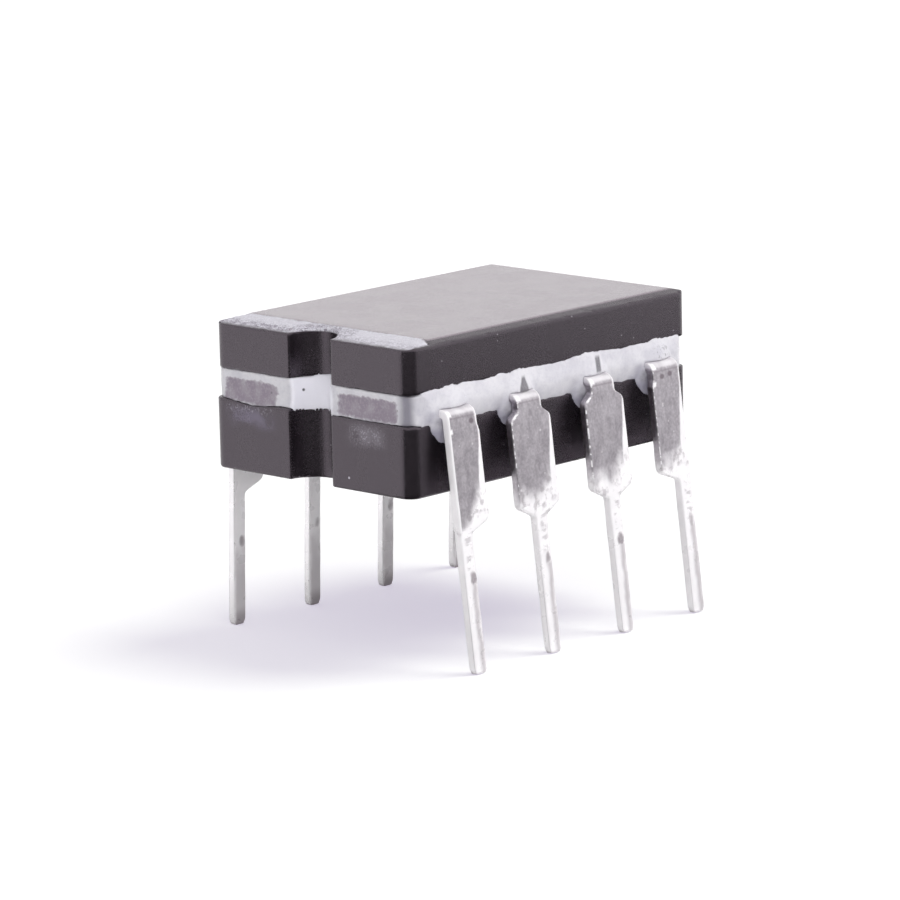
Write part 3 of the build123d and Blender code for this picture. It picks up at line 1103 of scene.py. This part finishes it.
def iron_colour(finish, drawn, grit):
    """Dull grey iron, the painted highlight on its bend, the painted shade in the crease and the spots
    under it.
    """
    colour = finish.blend(drawn * 0.35 + grit * 0.3 + finish.blotchy * 0.3, IRON_DARK, IRON_PALE_AND_BEND_SHEEN)
    colour = finish.blend(finish.specks(7, 0.26, 0.10) * 0.5, colour, SOLDER_AND_GLINT_WHITE)
    # Painted highlight on the bend top, and painted shade in the crease below it.
    colour = finish.blend(finish.fade(finish.z, 5.93, 5.98) * 0.6, colour, IRON_PALE_AND_BEND_SHEEN)
    crease_shade = finish.between(finish.z, 5.85, 5.885, 0.02)
    colour = finish.blend(crease_shade * 0.5, colour, STAIN_AND_SHADE_COLOUR)
    for spot in BEND_SPOTS:
        colour = finish.blend(finish.near(spot, 0.11, 0.8, 4) * 0.95, colour, STAIN_AND_SHADE_COLOUR)
    return colour


print("spots under the bends:", len(BEND_SPOTS))

# %% [markdown]
# ## Stains and painted shade on the solder
#
# The solder carries the marks of handling: grey stains along its upper edge, a chain of small rungs down
# the middle of the pin, one dark blot, a streak from the blot to the tip, and a dark cut tip. Painted shade
# is added too: the rear pins are seen from inside, where their foot is darkened, most towards the bottom,
# and a thin dark line runs down the lower left corner of the pins. The largest of all these masks is the
# stain.

# %% Stain the solder
BLOT_HEIGHT = 2.21
REAR_BLOT_DROP = 0.17
BLOT_INSET = 0.13
BLOT_WIDTH = 0.12
BLOT_TALL = 0.19


def pin_marks(finish, line):
    """Stains along the dip line, the chain of rungs and the cut tip."""
    soft_spots = finish.fade(finish.noise(5, 3), 0.50, 0.68)
    edge_stain = finish.outer * finish.between(finish.z, line - 0.6, line + 0.1, 0.15) * soft_spots * 0.5
    centre = finish.between(finish.from_right, 0.06, 0.26, 0.05)
    rungs = finish.fade(finish.noise(6, 2, (0.7, 0.7, 1.5)), 0.46, 0.62)
    chain = finish.outer * finish.between(finish.z, 2.4, 3.4, 0.1) * rungs * centre * 0.42
    tip = finish.fade(finish.z, 0.10, 0.03) * 0.4
    return edge_stain.most(chain).most(tip)


def blot_mark(finish):
    """One rounded blot on each pin, with a broken outline."""
    across = (finish.from_right - BLOT_INSET) / BLOT_WIDTH
    along = (finish.z - BLOT_HEIGHT + REAR_BLOT_DROP * finish.rear_row) / BLOT_TALL
    outline = across * across + along * along + 2.4 * finish.ragged + finish.blotchy * 0.6
    return finish.fade(outline, 1.3, 0.2) * 0.8


def streak_and_shade_mark(finish):
    """A streak below the blot, and painted shade along the left corner and on the lower inner face of the
    rear pins.
    """
    below = finish.fade(finish.z, BLOT_HEIGHT, BLOT_HEIGHT - 0.15)
    band = finish.between(finish.from_right + 0.2 * finish.ragged, 0.03, 0.18, 0.07)
    # Painted shade: the inner face of the rear pins darkens towards the foot.
    inner = finish.rear_row * finish.fade(finish.facing, -0.3, -0.7)
    darker_down = 0.5 + 0.5 * finish.fade(finish.z, 0.5, 0.1)
    foot = inner * finish.fade(finish.z + finish.ragged, 2.2, 1.2) * darker_down
    foot = foot * finish.fade(finish.from_right + 0.12 * finish.ragged, 0.40, 0.26) * 0.85
    # Painted shade: a thin dark line down the lower left corner of each pin.
    left_corner_shade = finish.fade(finish.from_left, 0.05, 0.02) * finish.fade(finish.z, 3.0, 1.0) * 0.35
    left_corner_shade = left_corner_shade * finish.fade(finish.facing, 0.55, 0.35) * finish.fade(finish.facing, 0.05, 0.25)
    return (below * band * 0.5 * finish.outer).most(foot).most(left_corner_shade)


print("blots", BLOT_HEIGHT, "mm above the tips")

# %% [markdown]
# ## Finish of the leads
#
# Now the parts come together. Bare iron is a metal. The solder and the painted glints are bright and a
# little chalky, so they are mostly a pale solid colour, which keeps them white under soft light. The edge
# of the rear pins is left metallic, because there it mirrors the white sheet.

# %% Paint the leads
SOLDER_SHADE = (0.62, 0.60, 0.63)
CHALKY = 0.9
REAR_EDGE_METAL = 0.85
LEAD_RELIEF = 0.003


def lead_finish():
    """Dull nickel-iron above, bright solder below, stains between."""
    finish = lead_places()
    drawn = finish.fade(finish.noise(8, 4, (1, 1, 0.35)), 0.3, 0.7)
    grit = finish.fade(finish.noise(15, 4), 0.35, 0.68)
    line = dip_line(finish)
    painted_glints = painted_glint_mask(finish)
    # Painted highlight: the top of the bend is whitened.
    bend_top_highlight = finish.fade(finish.z, 5.90, 5.97) * (0.35 + 0.3 * finish.blotchy)
    bright = solder_and_edge_highlight_mask(finish, line).most(painted_glints).most(bend_top_highlight)
    # Solder and the painted highlights share this pale colour.
    solder_and_glint_tone = finish.blend(finish.blotchy * 0.12, SOLDER_AND_GLINT_WHITE, SOLDER_SHADE)
    colour = finish.blend(bright, iron_colour(finish, drawn, grit), solder_and_glint_tone)
    stains_and_shade = pin_marks(finish, line).most(blot_mark(finish)).most(streak_and_shade_mark(finish))
    colour = finish.blend(stains_and_shade, colour, STAIN_AND_SHADE_COLOUR)
    roughness = finish.mix(bright, 0.30 + 0.12 * drawn, 0.26 + 0.08 * finish.blotchy)
    roughness = finish.mix(painted_glints, roughness, 0.3)
    relief = finish.mix(bright, grit * 0.3 + drawn * 0.25, finish.noise(2.2, 2))
    left_side = finish.fade(finish.from_left, 0.12, 0.05) * finish.between(finish.facing, -0.7, 0.7, 0.1)
    metal = (1 - CHALKY * painted_glints.most(bright)).most(finish.rear_row * left_side * REAR_EDGE_METAL)
    normal = finish.wear(relief, LEAD_RELIEF)
    return finish.feed(Base_Color=colour, Roughness=roughness, Metallic=metal, Normal=normal)


lead_metal = lead_finish()
for number, lead in enumerate(leads, 1):
    finished(lead, lead_metal, f"lead_{number}")

# %% [markdown]
# ## What is sealed inside
#
# The die, the layer that bonds it and its fine wires can't be seen, but they belong to the chip. The
# frame's own pieces stay, and each gets a finish of its own: polished silicon with faint circuit
# blocks, dull gold for the bond, and soft aluminium for the wires.

# %% Paint the inner pieces
SILICON = ((0.10, 0.105, 0.14), (0.20, 0.19, 0.24))
GOLD = ((0.62, 0.42, 0.16), (0.80, 0.58, 0.27))
ALUMINIUM = ((0.80, 0.80, 0.81), (0.90, 0.90, 0.91))


def silicon_finish():
    """Polished silicon, with faint blocks and tracks that stand for its circuit."""
    finish = Finish("polished silicon", IOR=3.4)
    blocks = finish.specks(3.0, 0.42, 0.6)
    tracks = finish.fade(finish.noise(16, 1, (1, 0.15, 1)), 0.5, 0.56)
    colour = finish.blend(blocks * 0.6 + tracks * 0.4, *SILICON)
    return finish.feed(Base_Color=colour, Roughness=0.16 + 0.1 * tracks)


def bond_finish():
    """Dull gold that flowed out under the die."""
    finish = Finish("gold bond", Metallic=1.0)
    flow = finish.noise(6, 4)
    colour = finish.blend(flow, *GOLD)
    return finish.feed(Base_Color=colour, Roughness=0.3 + 0.2 * flow, Normal=finish.wear(flow, 0.008))


def wire_finish():
    """Soft drawn aluminium."""
    finish = Finish("aluminium wire", Metallic=1.0)
    drawn = finish.noise(30, 3)
    colour = finish.blend(drawn, *ALUMINIUM)
    return finish.feed(Base_Color=colour, Roughness=0.25 + 0.15 * drawn)


inner = {"die_attach": bond_finish(), "die": silicon_finish()}
wire_metal = wire_finish()
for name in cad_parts:
    if name.startswith("bond_wire"):
        inner[name] = wire_metal
for name, material in inner.items():
    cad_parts[name].data.materials.clear()
    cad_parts[name].data.materials.append(material)
print("inner pieces painted:", len(inner))

# %% [markdown]
# ## Picture settings
#
# Standard keeps colours as they are written.

# %% Finish
bpy.context.scene.view_settings.view_transform = "Standard"
